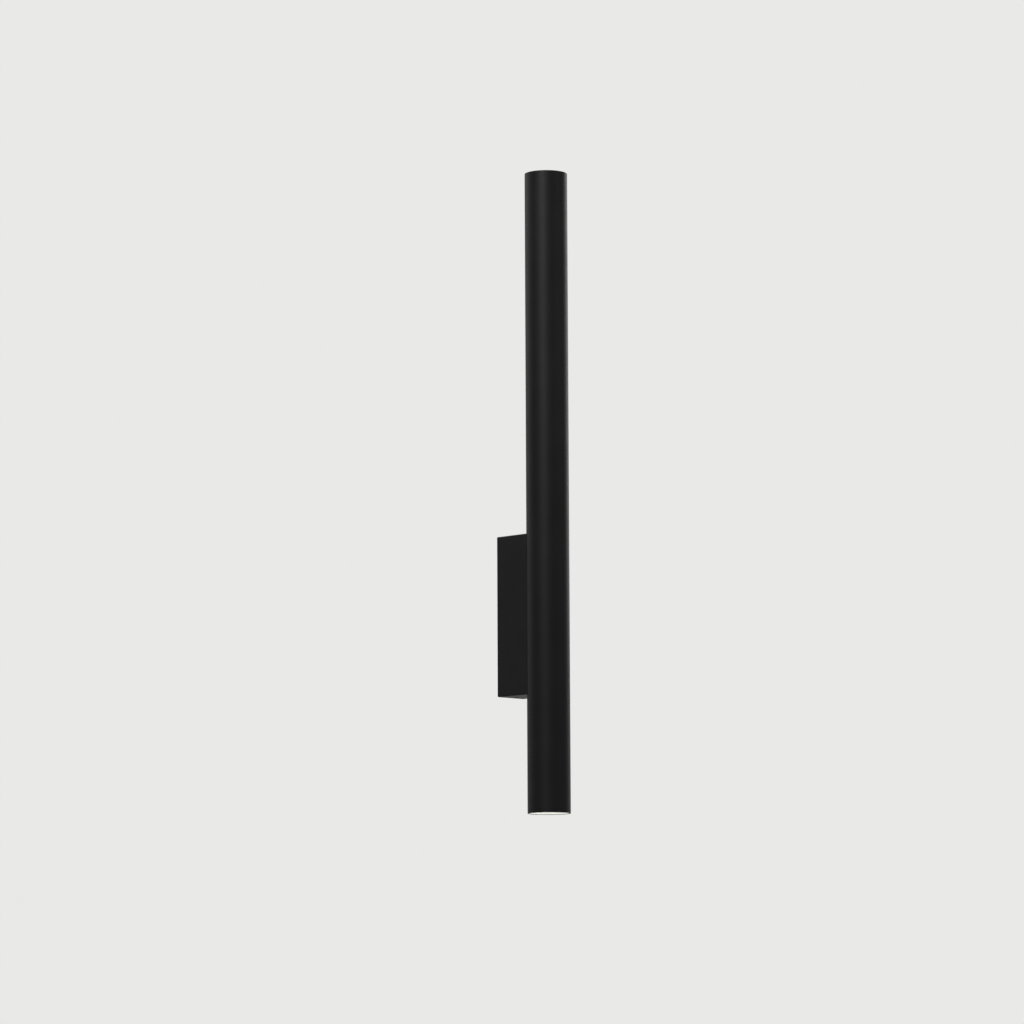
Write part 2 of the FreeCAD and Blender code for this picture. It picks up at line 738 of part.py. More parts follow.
def make_bracket_fittings():
    """Edge bushing for the supply cable, earth screw and its washer, and the locking screws."""
    sleeve = "cable_hole_radius - fit_gap"
    corners = [
        ("bushing_bore_radius", "0"),
        (sleeve, "0"),
        (sleeve, "bracket_sheet"),
        ("bushing_flange_radius", "bracket_sheet"),
        ("bushing_flange_radius", "bracket_sheet + bushing_flange_height"),
        ("bushing_bore_radius", "bracket_sheet + bushing_flange_height"),
    ]
    node("cable_bushing", put(turned("cable_bushing", corners), turn=TO_ROOM))
    washer = toothed_washer("bracket_earth_washer", "large_hole_radius", "large_washer_radius")
    node(
        "bracket_earth_washer",
        put(washer, "bracket_earth_side", "-bracket_sheet", "bracket_earth_height", TO_ROOM),
    )
    screw = slotted_screw("bracket_earth_screw", "large", "bracket_sheet + washer_sheet")
    node(
        "bracket_earth_screw",
        put(screw, "bracket_earth_side", "-bracket_sheet - washer_sheet", "bracket_earth_height", TO_ROOM),
    )

    screws = []
    tip = "( bracket_half_height + locking_gap )"
    for side, height, turn in (("lower", f"-{tip}", UPSIDE_DOWN), ("upper", tip, UPRIGHT)):
        shank = cylinder(f"locking_{side}_shank", "locking_screw_radius", "locking_screw_length")
        socket = doc.addObject("Part::Prism", f"locking_{side}_socket")
        socket.Polygon = 6
        bind(socket, Circumradius="locking_socket_radius", Height="locking_socket_depth")
        put(socket, z="locking_screw_length - locking_socket_depth")
        screw = without(f"locking_screw_{side}", shank, [socket])
        screws.append(put(screw, y="-locking_screw_depth", z=height, turn=turn))
    group("locking_screws", screws)


# ---------------------------------------------------------------- terminal block and earth

POLES = {"live": "-pole_pitch", "earth": "0", "neutral": "pole_pitch"}


def make_terminal_block():
    """Three-pole block on the front of the box, with brass inserts and clamping screws."""
    mid = "block_mid_height"
    blank = box(
        "block_blank",
        "block_half_width * 2",
        "block_depth",
        "block_height",
        x="-block_half_width",
        y="-seat_depth",
        z="block_low_height",
    )
    solids = [blank]
    cuts = []
    fixings = []
    lugs = (
        ("low", "-lug_side", "( block_low_height - lug_radius )", "block_low_height - lug_radius"),
        ("high", "lug_side", "( block_high_height + lug_radius )", "block_high_height"),
    )
    for level, x, z, web_low in lugs:
        solids.append(cylinder(f"lug_{level}", "lug_radius", "lug_thickness", x, "-seat_depth", z, TO_WALL))
        web_sizes = ("lug_radius * 2", "lug_thickness", "lug_radius")
        solids.append(box(f"lug_{level}_web", *web_sizes, f"{x} - lug_radius", "-seat_depth", web_low))
        seat = (x, "-seat_depth", z, TO_WALL)
        cuts.append(cylinder(f"lug_{level}_hole", "tiny_hole_radius", "lug_thickness", *seat))
        screw = slotted_screw(f"terminal_fixing_screw_{level}", "tiny", "lug_thickness + fixing_screw_bite")
        fixings.append(put(screw, x, "-seat_depth + lug_thickness", z, TO_WALL))
    inserts = []
    screws = []
    insert_low = f"( {mid} - insert_length / 2 )"
    driver_hole = "small_head_radius + fit_gap"
    screw_tip = "( -pole_wall_depth + insert_bore_radius - fit_gap )"
    for pole, x in POLES.items():
        channel_radius = "insert_radius + fit_gap"
        channel_place = (x, "-pole_wall_depth", "block_low_height")
        cuts.append(cylinder(f"block_{pole}", channel_radius, "block_height", *channel_place))
        insert_place = (x, "-pole_wall_depth", insert_low)
        barrel = cylinder(f"insert_{pole}_barrel", "insert_radius", "insert_length", *insert_place)
        insert_cuts = [cylinder(f"insert_{pole}_bore", "insert_bore_radius", "insert_length", *insert_place)]
        for row, sign in (("low", "-"), ("high", "+")):
            z = f"( {mid} {sign} terminal_screw_pitch / 2 )"
            across = (x, "-pole_wall_depth", z, TO_WALL)
            cuts.append(cylinder(f"block_{pole}_{row}", driver_hole, "block_depth", *across))
            insert_cuts.append(
                cylinder(f"insert_{pole}_{row}", "small_thread_radius", "insert_radius * 2", *across)
            )
            screw = slotted_screw(f"terminal_screw_{pole}_{row}", "small", "terminal_screw_length")
            screws.append(put(screw, x, f"{screw_tip} + terminal_screw_length", z, TO_WALL))
        inserts.append(without(f"terminal_insert_{pole}", barrel, insert_cuts))
    node("terminal_block", without("terminal_block", joined("block_solid", solids), cuts))
    group("terminal_inserts", inserts)
    group("terminal_screws", screws)
    group("terminal_fixing_screws", fixings)


def make_earth():
    """Earth screw, toothed washer and ring terminal on the front of the box."""
    washer = toothed_washer("earth_washer", "large_hole_radius", "large_washer_radius")
    node("earth_washer", put(washer, "earth_side", "-seat_depth", "earth_height", TO_WALL))
    length = "earth_screw_bite + washer_sheet * 2"
    screw = slotted_screw("earth_screw", "large", length)
    node("earth_screw", put(screw, "earth_side", "-seat_depth + washer_sheet * 2", "earth_height", TO_WALL))

    seat = "-seat_depth + washer_sheet"
    middle = ("earth_side", seat, "earth_height", TO_WALL)
    ring = cylinder("earth_ring", "earth_ring_radius", "washer_sheet", *middle)
    hole = cylinder("earth_ring_hole", "large_hole_radius", "washer_sheet", *middle)
    half_width = "( barrel_bore_radius + earth_barrel_wall )"
    tongue = box(
        "earth_tongue",
        f"{half_width} * 2",
        "washer_sheet",
        "earth_tongue_length + earth_barrel_length",
        f"earth_side - {half_width}",
        seat,
        "earth_height",
    )
    barrel_place = ("earth_side", f"{seat} + {half_width}", "earth_height + earth_tongue_length")
    barrel = cylinder("earth_barrel", half_width, "earth_barrel_length", *barrel_place)
    bore = cylinder("earth_barrel_bore", "barrel_bore_radius", "earth_barrel_length", *barrel_place)
    blank = joined("earth_terminal_blank", [ring, tongue, barrel])
    node("earth_ring_terminal", without("earth_ring_terminal", blank, [hole, bore]))


# ---------------------------------------------------------------- lamp ends


def make_trim_ring(end):
    """Thin spun sleeve in the mouth of the tube, with a lip that covers the lamp's rim."""
    inner = "( ring_radius - ring_sheet )"
    corners = [
        (inner, "ring_recess"),
        ("ring_radius", "ring_recess"),
        ("ring_radius", "ring_end_depth"),
        ("ring_lip_radius", "ring_end_depth"),
        ("ring_lip_radius", "ring_end_depth - ring_sheet"),
        (inner, "ring_end_depth - ring_sheet"),
    ]
    node(f"{end}_trim_ring", in_end(end, turned(f"{end}_trim_ring", corners)))


def make_lamp(end):
    """Reflector lamp: shell, lens, light board, base and two headed pins."""
    neck_bore = "( lamp_neck_radius - lamp_shell_wall )"
    shell_corners = [
        ("lamp_bore_radius", "lamp_recess"),
        ("lamp_radius", "lamp_recess"),
        ("lamp_radius", "lamp_rim_depth"),
        ("lamp_neck_radius", "shell_end_depth"),
        (neck_bore, "shell_end_depth"),
        ("lens_ledge_radius", "lamp_rim_depth"),
        ("lens_ledge_radius", "lens_seat_depth"),
        ("lamp_bore_radius", "lens_seat_depth"),
    ]
    node(f"{end}_lamp_shell", in_end(end, turned(f"{end}_lamp_shell", shell_corners)))

    lens_corners = [
        ("0", "lens_depth"),
        ("lens_radius / 2", "lens_depth + lens_dome / 4"),
        ("lens_radius", "lens_depth + lens_dome"),
        ("lens_radius", "lens_seat_depth"),
        ("0", "lens_seat_depth"),
    ]
    node(f"{end}_lamp_lens", in_end(end, turned(f"{end}_lamp_lens", lens_corners)))

    board = cylinder(f"{end}_board_blank", "led_board_radius", "led_board_thickness")
    slope = "( lamp_radius - lamp_neck_radius ) / ( shell_end_depth - lamp_rim_depth )"
    board_drop = f"led_board_margin / ( {slope} )"
    board_depth = f"lamp_rim_depth + {board_drop} - led_board_thickness - fit_gap"
    bind(board, z=board_depth)
    lead_hole = cylinder(f"{end}_board_hole", "lead_hole_radius", "led_board_thickness", z=board_depth)
    node(f"{end}_lamp_board", in_end(end, without(f"{end}_lamp_board", board, [lead_hole])))

    socket_low = "base_end_depth - pin_socket_depth"
    blank = cylinder(f"{end}_base_blank", "lamp_neck_radius", "lamp_base_height", z="shell_end_depth")
    sockets = []
    pins = []
    for side, x in (("left", "-pin_side"), ("right", "pin_side")):
        sockets.append(
            cylinder(f"{end}_base_{side}", "pin_radius + thread_gap", "pin_socket_depth", x, z=socket_low)
        )
        stem_length = "pin_socket_depth + pin_length"
        stem = cylinder(f"{end}_pin_{side}_stem", "pin_radius", stem_length, x, z=socket_low)
        head = cylinder(f"{end}_pin_{side}_head", "pin_head_radius", "pin_head_height", x, z="pin_head_depth")
        pins.append(in_end(end, joined(f"{end}_pin_{side}", [stem, head])))
    node(f"{end}_lamp_base", in_end(end, without(f"{end}_lamp_base", blank, sockets)))
    group(f"{end}_lamp_pins", pins)


def ring_sector(name, half_width, angle, low, height, start):
    """Part of a flat ring that the pins' circle runs through, from start on round the axis."""
    outer = cylinder(f"{name}_outer", f"pin_side + {half_width}", height)
    inner = cylinder(f"{name}_inner", f"pin_side - {half_width}", height)
    bind(outer, Angle=angle)
    sector = without(name, outer, [inner])
    sector.Placement = FreeCAD.Placement(FreeCAD.Vector(), FreeCAD.Rotation(start, 0, 0))
    return bind(sector, z=low)


# The pins of a locked lamp: their side, their angle round the axis and their place across it.
PINS = (("left", 180, "-pin_side"), ("right", 0, "pin_side"))


def make_holder_face(end, screw_places):
    """Front half of the ceramic holder: a keyway with an entry hole for each pin.

    The lamp is unlocked by turning it back by the twist angle, to the entry holes.
    """
    thickness = "chamber_depth - holder_depth"
    blank = cylinder(f"{end}_face_blank", "holder_radius", thickness, z="holder_depth")
    cuts = []
    for side, locked_angle, _ in PINS:
        name = f"{end}_keyway_{side}"
        entry_angle = locked_angle - number("twist_angle")
        cuts.append(ring_sector(name, "keyway_radius", "twist_angle", "holder_depth", thickness, entry_angle))
        stops = (("locked", locked_angle, "pin_seat_radius"), ("entry", entry_angle, "keyhole_radius"))
        for stop, angle, radius in stops:
            around = FreeCAD.Rotation(angle, 0, 0).multVec(X_AXIS)
            place = (f"pin_side * {around.x:.9f}", f"pin_side * {around.y:.9f}", "holder_depth")
            cuts.append(cylinder(f"{name}_{stop}", radius, thickness, *place))
    bite = "holder_screw_bite + fit_gap"
    for side, y in screw_places:
        name = f"{end}_face_thread_{side}"
        cuts.append(cylinder(name, "small_thread_radius", bite, y=y, z=f"chamber_depth - ( {bite} )"))
    node(f"{end}_holder_face", in_end(end, without(f"{end}_holder_face", blank, cuts)))


def make_holder_rear(end, screw_places):
    """Rear half of the ceramic holder: a chamber for each pin's head, and its contact."""
    length = "holder_end_depth - chamber_depth"
    blank = cylinder(f"{end}_rear_blank", "holder_radius", length, z="chamber_depth")
    spread = math.degrees(math.asin(number("chamber_half_width / pin_side")))
    chamber_angle = "twist_angle * 1 deg + 2 * asin( chamber_half_width / pin_side )"
    chamber_height = "chamber_end_depth - chamber_depth"
    button_height = "chamber_spare_depth - pin_gap"
    cuts = []
    contacts = []
    for side, locked_angle, x in PINS:
        start = locked_angle - number("twist_angle") - spread
        chamber = ("chamber_half_width", chamber_angle, "chamber_depth", chamber_height, start)
        cuts.append(ring_sector(f"{end}_chamber_{side}", *chamber))
        rear = {"x": x, "z": "chamber_end_depth"}
        rear_length = "holder_end_depth - chamber_end_depth"
        cuts.append(cylinder(f"{end}_rear_lead_{side}", "barrel_radius + fit_gap", rear_length, **rear))

        name = f"{end}_contact_{side}"
        plate = box(
            f"{name}_plate",
            "contact_width",
            "contact_width",
            "contact_thickness",
            f"{x} - contact_width / 2",
            "-contact_width / 2",
            "chamber_end_depth - contact_thickness",
        )
        button = cylinder(f"{name}_button", "pin_radius", button_height, x, z="pin_end_depth + pin_gap")
        barrel = cylinder(f"{name}_barrel", "barrel_radius", "contact_barrel_length", **rear)
        bore = cylinder(f"{name}_bore", "barrel_bore_radius", "contact_barrel_length", **rear)
        contact = without(name, joined(f"{name}_blank", [plate, button, barrel]), [bore])
        contacts.append(in_end(end, contact))
    for side, y in screw_places:
        cuts.append(cylinder(f"{end}_rear_hole_{side}", "small_hole_radius", length, y=y, z="chamber_depth"))
    node(f"{end}_lampholder", in_end(end, without(f"{end}_lampholder", blank, cuts)))
    group(f"{end}_contacts", contacts)


def make_lampholder(end):
    """Ceramic holder in two halves, the cup that carries it and the screws through all three."""
    screw_places = (("front", "-holder_screw_side"), ("back", "holder_screw_side"))
    make_holder_face(end, screw_places)
    make_holder_rear(end, screw_places)

    screws = []
    cup_cuts = []
    screw_length = "cup_end_depth - chamber_depth + holder_screw_bite"
    for side, y in screw_places:
        hole = cylinder(f"{end}_cup_hole_{side}", "small_hole_radius", "cup_sheet", y=y, z="holder_end_depth")
        cup_cuts.append(hole)
        screw = slotted_screw(f"{end}_holder_screw_{side}", "small", screw_length)
        put(screw, y=y, z="cup_end_depth")
        seated = doc.addObject("Part::Compound", f"{end}_holder_screw_{side}_seated")
        seated.Links = [screw]
        screws.append(in_end(end, seated))
    group(f"{end}_holder_screws", screws)

    for side, x in (("left", "-pin_side"), ("right", "pin_side")):
        hole = cylinder(f"{end}_cup_lead_{side}", "lead_hole_radius", "cup_sheet", x, z="holder_end_depth")
        cup_cuts.append(hole)
    side_hole = {"z": "cup_screw_depth", "turn": TO_WALL}
    cup_cuts.append(cylinder(f"{end}_cup_thread", "small_thread_radius", "tube_radius", **side_hole))
    rim_bore = "( cup_radius - cup_sheet )"
    corners = [
        ("0", "holder_end_depth"),
        ("cup_radius", "holder_end_depth"),
        ("cup_radius", "cup_rim_depth"),
        (rim_bore, "cup_rim_depth"),
        (rim_bore, "cup_end_depth"),
        ("0", "cup_end_depth"),
    ]
    cup = without(f"{end}_holder_cup", turned(f"{end}_cup_blank", corners), cup_cuts)
    node(f"{end}_holder_cup", in_end(end, cup))


def make_cup_screws():
    """The two screws through the back of the tube into the cups."""
    screws = []
    length = "tube_wall + cup_gap + cup_sheet + fit_gap"
    for end in ENDS:
        mouth = ENDS[end][0]
        depth = "cup_screw_depth" if end == "lower" else "-cup_screw_depth"
        screw = slotted_screw(f"cup_screw_{end}", "small", length)
        screws.append(put(screw, y="-tube_back_depth", z=f"{mouth} + {depth}", turn=TO_WALL))
    group("cup_screws", screws)


# ---------------------------------------------------------------- leads


def make_leads():
    """A live and a neutral lead from each lampholder through the nipple to the terminal
    block, and the earth lead from the ring terminal to the middle pole."""
    offset = "( lead_radius + fit_gap )"
    # end of the tube, sign of its height, contact's height, depth of the bend in the box
    # and depth in the terminal: the lower leads lie nearer to the wall throughout
    near = f"pole_wall_depth - {offset}"
    far = f"pole_wall_depth + {offset}"
    courses = (
        ("lower", "-", "tube_low + chamber_end_depth", "lead_turn_depth", near),
        ("upper", "", "tube_high - chamber_end_depth", "lead_turn_depth + lead_pitch", far),
    )
    for core, side in (("live", "-"), ("neutral", "")):
        in_tube = f"{side}pin_side"
        in_nipple = f"{side}lead_pitch / 2"
        pair = []
        for end, sign, contact, turn_depth, pole_place in courses:
            level = f"{sign}lead_pitch / 2"
            stations = [
                (in_tube, "-wall_to_axis", contact),
                (in_tube, "-wall_to_axis", f"{sign}( lead_gather_reach + lead_gather_run )"),
                (in_nipple, "-wall_to_axis", f"{sign}lead_gather_reach"),
                (in_nipple, "-wall_to_axis", level),
                (in_nipple, f"-( {turn_depth} )", level),
                (in_nipple, f"-( {turn_depth} )", "lead_spread_height"),
                (f"{side}pole_pitch", f"-( {pole_place} )", "lead_straight_height"),
                (f"{side}pole_pitch", f"-( {pole_place} )", "lead_end_height"),
            ]
            pair.append(lead(f"{core}_lead_{end}", stations))
        group(f"{core}_leads", pair)

    barrel_depth = "( seat_depth - washer_sheet - barrel_bore_radius - earth_barrel_wall )"
    beside_nut = "( nut_flat_radius / cos(30) + lead_radius * 2 + fit_gap )"
    stations = [
        ("earth_side", f"-{barrel_depth}", "earth_height + earth_tongue_length"),
        ("earth_side", f"-{barrel_depth}", "earth_height + earth_lead_run"),
        (beside_nut, f"-{barrel_depth} + lead_radius", "earth_height + earth_lead_run * 1.5"),
        (beside_nut, f"-{barrel_depth} + lead_radius * 2", "lead_spread_height - earth_lead_run / 2"),
        ("0", "-pole_wall_depth - lead_radius", "lead_spread_height + earth_lead_run / 2"),
        ("0", "-pole_wall_depth", "lead_straight_height"),
        ("0", "-pole_wall_depth", "lead_end_height"),
    ]
    node("earth_lead", lead("earth_lead", stations))


# ---------------------------------------------------------------- assembly

make_tube()
make_mount_box()
make_joint_hardware()
make_bracket()
make_bracket_fittings()
make_terminal_block()
make_earth()
for lamp_end in ENDS:
    make_trim_ring(lamp_end)
    make_lamp(lamp_end)
    make_lampholder(lamp_end)
make_cup_screws()
make_leads()
doc.recompute()

failed = [obj.Label for obj in doc.Objects if "Invalid" in obj.State or "Error" in obj.State]
failed += [name for name, obj in nodes.items() if obj.Shape.isNull() or not obj.Shape.isValid()]
if failed:
    raise RuntimeError("failed: " + ", ".join(sorted(set(failed))))

os.makedirs("parts", exist_ok=True)
for node_name, obj in nodes.items():
    obj.Shape.exportStep(f"parts/{node_name}.step")
    extent = obj.Shape.BoundBox
    print(
        f"{node_name}: {len(obj.Shape.Solids)} solids, {obj.Shape.Volume:.1f} mm3, "
        f"x {extent.XMin:.2f}..{extent.XMax:.2f}, y {extent.YMin:.2f}..{extent.YMax:.2f}, "
        f"z {extent.ZMin:.2f}..{extent.ZMax:.2f}"
    )
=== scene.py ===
import json
import math

import bpy
import numpy as np
from mathutils import Matrix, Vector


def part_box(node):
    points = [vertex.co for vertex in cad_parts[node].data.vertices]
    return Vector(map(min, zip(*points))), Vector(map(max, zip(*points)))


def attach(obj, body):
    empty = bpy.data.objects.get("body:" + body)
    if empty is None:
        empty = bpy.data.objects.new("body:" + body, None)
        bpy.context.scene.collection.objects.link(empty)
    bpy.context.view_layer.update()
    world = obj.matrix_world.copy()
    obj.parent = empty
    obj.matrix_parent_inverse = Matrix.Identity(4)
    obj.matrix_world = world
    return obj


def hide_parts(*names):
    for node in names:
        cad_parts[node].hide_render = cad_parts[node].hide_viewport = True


# Looks of a slim tube wall light: matt black tube and box, with a lamp and a white trim
# ring in each mouth. Everything is in metres, in the part's own frame: the wall is the
# plane y = 0, -Y points into the room and +Z is up.

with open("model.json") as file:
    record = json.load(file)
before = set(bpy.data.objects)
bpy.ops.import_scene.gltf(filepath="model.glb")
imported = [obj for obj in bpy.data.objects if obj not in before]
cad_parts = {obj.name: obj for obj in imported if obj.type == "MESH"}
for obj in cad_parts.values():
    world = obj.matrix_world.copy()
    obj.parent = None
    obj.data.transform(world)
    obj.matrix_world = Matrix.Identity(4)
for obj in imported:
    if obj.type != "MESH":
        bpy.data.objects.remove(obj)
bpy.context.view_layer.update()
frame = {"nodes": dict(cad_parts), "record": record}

MM = 0.001
TUBE_AXIS_Y = -0.05


# ---------------------------------------------------------------- nodes and colours


def linear(colour):
    """An sRGB hex colour as linear RGBA.

    Each channel c, from 0 to 1, becomes c / 12.92 up to 0.04045 and
    ((c + 0.055) / 1.055) ** 2.4 above it.
    """
    channels = [int(colour[i : i + 2], 16) / 255 for i in (1, 3, 5)]
    return (*(c / 12.92 if c <= 0.04045 else ((c + 0.055) / 1.055) ** 2.4 for c in channels), 1.0)


def add(tree, kind, inputs, **settings):
    """Adds one shader node. inputs maps a socket's name or number to a value or a socket."""
    made = tree.nodes.new("ShaderNode" + kind)
    for name, value in settings.items():
        setattr(made, name, value)
    for key, value in inputs.items():
        if isinstance(value, bpy.types.NodeSocket):
            tree.links.new(value, made.inputs[key])
        else:
            made.inputs[key].default_value = value
    return made


def maths(tree, operation, first, second=0.0):
    """The result of a Math node. An operation on one value ignores the second."""
    return add(tree, "Math", {0: first, 1: second}, operation=operation).outputs[0]


# The sockets of a Mix node that belong to colours. Their names are not unique.
MIX_SHARE, MIX_FIRST, MIX_SECOND = 0, 6, 7
MIX_RESULT = 2


def mixed(tree, share, first, second):
    """The linear colour that goes from first to second as the share goes from 0 to 1."""
    inputs = {MIX_SHARE: share, MIX_FIRST: first, MIX_SECOND: second}
    return add(tree, "Mix", inputs, data_type="RGBA").outputs[MIX_RESULT]


def per_metre(size_mm):
    """The texture scale at which one cell of a pattern is size_mm millimetres across."""
    return 1 / (size_mm * MM)


# Most of the values of a noise texture lie between these.
NOISE_LOW, NOISE_HIGH = 0.3, 0.7

# How strongly a fine relief is drawn: the Bump node's own strength, the same everywhere.
FULL_STRENGTH = 1.0


class Finish:
    """A material with a Principled shader, built up from noise on Object coordinates."""

    def __init__(self, name, shader_values):
        self.material = bpy.data.materials.new(name)
        self.material.use_nodes = True
        self.tree = self.material.node_tree
        self.tree.nodes.clear()
        self.place = add(self.tree, "TexCoord", {}).outputs["Object"]
        self.shader = add(self.tree, "BsdfPrincipled", shader_values)
        self.output = add(self.tree, "OutputMaterial", {"Surface": self.shader.outputs["BSDF"]})

    def link(self, output, socket):
        """Feeds an output into an input of the Principled shader."""
        self.tree.links.new(output, self.shader.inputs[socket])

    def noise(self, size_mm, detail=2.0):
        """Cloudy noise from 0 to 1, size_mm millimetres from one cloud to the next."""
        inputs = {"Vector": self.place, "Scale": per_metre(size_mm), "Detail": detail}
        return add(self.tree, "TexNoise", inputs).outputs[0]

    def spread(self, value, low, high, start=NOISE_LOW, end=NOISE_HIGH):
        """The value from start to end, stretched to run from low to high and held there."""
        inputs = {"Value": value, "From Min": start, "From Max": end, "To Min": low, "To Max": high}
        return add(self.tree, "MapRange", inputs).outputs[0]

    def tones(self, value, first, second):
        """Colour from first to second as the value goes from 0 to 1."""
        return mixed(self.tree, value, linear(first), linear(second))

    def colour(self, noise, first, second):
        """Colours the surface from first to second as the noise goes from low to high."""
        self.link(self.tones(self.spread(noise, 0, 1), first, second), "Base Color")

    def roughness(self, noise, low, high):
        """Takes the roughness from low to high as the noise does."""
        self.link(self.spread(noise, low, high), "Roughness")

    def relief(self, height, depth_mm):
        """Raises the surface by up to depth_mm millimetres where the height is 1."""
        inputs = {"Height": height, "Distance": depth_mm * MM, "Strength": FULL_STRENGTH}
        self.link(add(self.tree, "Bump", inputs).outputs[0], "Normal")


# ---------------------------------------------------------------- finishes


def black_powder_coat():
    """Polyester powder sprayed on aluminium and baked, with a fine texture.

    The eye gets a deep matt black with a broad soft sheen, slightly uneven where the coat
    is thicker. The real grain is about 0.3 mm and is drawn at 0.7 mm so that it shows.
    """
    coat = Finish("black_powder_coat", {"IOR": 1.5, "Specular IOR Level": 0.08})
    grain = coat.noise(0.7, detail=1)
    coat.colour(coat.noise(38, detail=3), "#050505", "#09090a")
    coat.roughness(grain, 0.46, 0.58)
    coat.relief(grain, 0.035)
    return coat.material


def zinc_plated_steel():
    """Cold-rolled steel, pressed or turned and bright zinc plated with a clear passivate.

    It gives a cool satin metal with cloudy patches and a faint straw tint.
    """
    plate = Finish("zinc_plated_steel", {"Metallic": 1.0})
    plate.colour(plate.noise(6, detail=4), "#b2b5b7", "#bfbfb9")
    plate.roughness(plate.noise(2.5, detail=3), 0.3, 0.46)
    plate.relief(plate.noise(0.5), 0.006)
    return plate.material


def black_oxide_steel():
    """Steel screws blackened in a hot salt bath and oiled: a dark satin metal."""
    oxide = Finish("black_oxide_steel", {"Metallic": 0.85})
    clouds = oxide.noise(1.2, detail=3)
    oxide.colour(clouds, "#161617", "#232325")
    oxide.roughness(clouds, 0.42, 0.58)
    oxide.relief(oxide.noise(0.3), 0.004)
    return oxide.material


def black_polyamide():
    """Injection-moulded polyamide with a fine eroded-mould texture: an even matt black."""
    plastic = Finish("black_polyamide", {"IOR": 1.53, "Specular IOR Level": 0.4})
    grain = plastic.noise(0.5, detail=1)
    plastic.colour(plastic.noise(4), "#141415", "#1b1b1c")
    plastic.roughness(grain, 0.5, 0.62)
    plastic.relief(grain, 0.01)
    return plastic.material


def natural_polyamide():
    """Uncoloured polyamide of a terminal block: milky ivory that lets a little light in."""
    values = {"IOR": 1.53, "Subsurface Weight": 0.15, "Subsurface Scale": 0.002}
    plastic = Finish("natural_polyamide", values)
    clouds = plastic.noise(5)
    plastic.colour(clouds, "#d8d2c1", "#e3dece")
    plastic.roughness(clouds, 0.38, 0.48)
    plastic.relief(plastic.noise(0.8), 0.006)
    return plastic.material


def turned_brass():
    """Free-cutting brass, turned: warm yellow metal with a faint fine texture."""
    brass = Finish("turned_brass", {"Metallic": 1.0})
    clouds = brass.noise(3, detail=3)
    brass.colour(clouds, "#b8924d", "#cbab66")
    brass.roughness(clouds, 0.26, 0.38)
    brass.relief(brass.noise(0.4), 0.003)
    return brass.material


def tinned_copper():
    """Stamped copper alloy with a dull tin plate: a soft grey metal, slightly warm."""
    tin = Finish("tinned_copper", {"Metallic": 1.0})
    clouds = tin.noise(2, detail=3)
    tin.colour(clouds, "#b3aea5", "#c2bbae")
    tin.roughness(clouds, 0.36, 0.5)
    tin.relief(tin.noise(0.4), 0.004)
    return tin.material


def silicone(name):
    """Extruded silicone insulation, dull and rubbery, before its colour.

    Gives the finish and the noise of the talc dust on it.
    """
    finish = Finish(name, {"IOR": 1.41, "Sheen Weight": 0.15, "Sheen Roughness": 0.5})
    dust = finish.noise(1.5, detail=3)
    finish.roughness(dust, 0.52, 0.66)
    finish.relief(finish.noise(0.6), 0.008)
    return finish, dust


def silicone_lead(name, first, second):
    """Silicone insulation of one colour, a little paler where it is dusty."""
    lead, dust = silicone(name)
    lead.colour(dust, first, second)
    return lead.material


def earth_silicone():
    """Silicone insulation of the earth lead: green, with a yellow stripe on two sides.

    The stripe lies where the surface faces along X, so that it follows the lead.
    """
    lead, _ = silicone("earth_silicone")
    normal = add(lead.tree, "TexCoord", {}).outputs["Normal"]
    across = add(lead.tree, "SeparateXYZ", {0: normal}).outputs["X"]
    stripe = lead.spread(maths(lead.tree, "ABSOLUTE", across), 0, 1, start=0.72, end=0.76)
    lead.link(lead.tones(stripe, "#2f7a35", "#d9bf2c"), "Base Color")
    return lead.material


def fired_steatite():
    """Pressed and fired steatite, unglazed: a chalky off-white with fine grey specks."""
    ceramic = Finish("fired_steatite", {"IOR": 1.58, "Specular IOR Level": 0.4})
    specks = ceramic.spread(ceramic.noise(0.7, detail=1), 0, 1, start=0.68, end=0.74)
    body = ceramic.tones(ceramic.spread(ceramic.noise(6), 0, 1), "#dcd6c8", "#e8e3d7")
    ceramic.link(mixed(ceramic.tree, specks, body, linear("#b9b1a2")), "Base Color")
    ceramic.roughness(ceramic.noise(1.2), 0.58, 0.72)
    ceramic.relief(ceramic.noise(0.9, detail=3), 0.02)
    return ceramic.material


def white_thermoplastic():
    """Heat-conducting white polyester of a lamp's shell, moulded: satin and even."""
    plastic = Finish("white_thermoplastic", {"IOR": 1.57})
    plastic.colour(plastic.noise(8), "#dddcd8", "#e6e5e1")
    plastic.roughness(plastic.noise(1.5), 0.34, 0.44)
    plastic.relief(plastic.noise(0.8), 0.008)
    return plastic.material


def solder_mask_board():
    """White solder mask printed on an aluminium core: smooth, slightly glossy, even."""
    mask = Finish("solder_mask_board", {"IOR": 1.5, "Coat Weight": 0.2, "Coat Roughness": 0.15})
    mask.colour(mask.noise(4), "#e0e0dc", "#e9e9e6")
    mask.roughness(mask.noise(0.9), 0.3, 0.4)
    mask.relief(mask.noise(0.5), 0.004)
    return mask.material


def nickel_plate():
    """Brass contact pins with satin nickel plate: a faintly warm grey metal."""
    nickel = Finish("nickel_plate", {"Metallic": 1.0})
    clouds = nickel.noise(1.5, detail=3)
    nickel.colour(clouds, "#b7b0a4", "#c9c2b5")
    nickel.roughness(clouds, 0.24, 0.36)
    nickel.relief(nickel.noise(0.4), 0.003)
    return nickel.material


SPINNING_STEP_MM = 0.6


